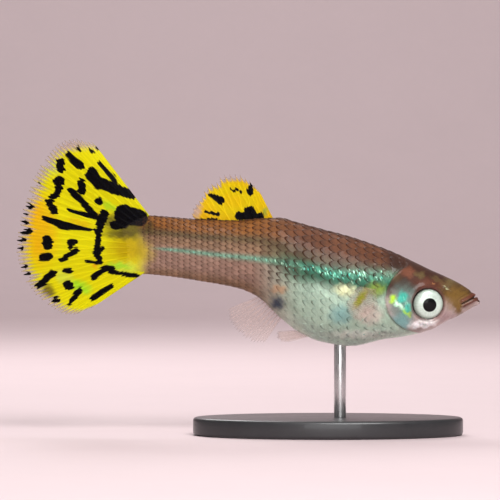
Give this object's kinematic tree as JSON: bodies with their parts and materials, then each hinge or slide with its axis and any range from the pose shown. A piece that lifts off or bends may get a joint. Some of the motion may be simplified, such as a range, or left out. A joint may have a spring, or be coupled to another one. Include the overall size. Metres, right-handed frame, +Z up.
{
  "type": "fancy guppy model on a display stand",
  "caption": "Still life-size model of a female fancy guppy with a spotted yellow fan tail, swimming over a flat oval stand on a short rod.",
  "frame": {"origin": "on the floor, under the middle of the whole model's box", "axes": "+X towards the fish's head, +Y towards its left side, +Z up"},
  "size_m": [0.0466, 0.015, 0.0297],
  "materials": {
    "skin": "painted and clear-coated resin: brown scaled back, turquoise flank, silver belly",
    "lips": "painted satin, reddish brown",
    "gill_cover": "painted pearl, yellow-green to turquoise",
    "eye": "polished, silver iris with a black pupil",
    "spotted_fin": "thin cast membrane, lemon yellow with black spots and streaks",
    "clear_fin": "thin clear cast membrane",
    "stand_base": "satin black",
    "stand_rod": "fine brushed"
  },
  "bodies": {
    "root": {"head": "skin", "upper_jaw": "lips", "lower_jaw": "lips", "gill_cover_left": "gill_cover", "gill_cover_right": "gill_cover", "eye_left": "eye", "eye_right": "eye", "trunk": "skin", "tail_stalk": "skin", "tail_fin": "spotted_fin", "dorsal_fin": "spotted_fin", "anal_fin": "clear_fin", "pectoral_fin_left": "clear_fin", "pectoral_fin_right": "clear_fin", "pelvic_fin_left": "clear_fin", "pelvic_fin_right": "clear_fin", "stand_base": "stand_base", "stand_rod": "stand_rod"}
  },
  "joints": []
}
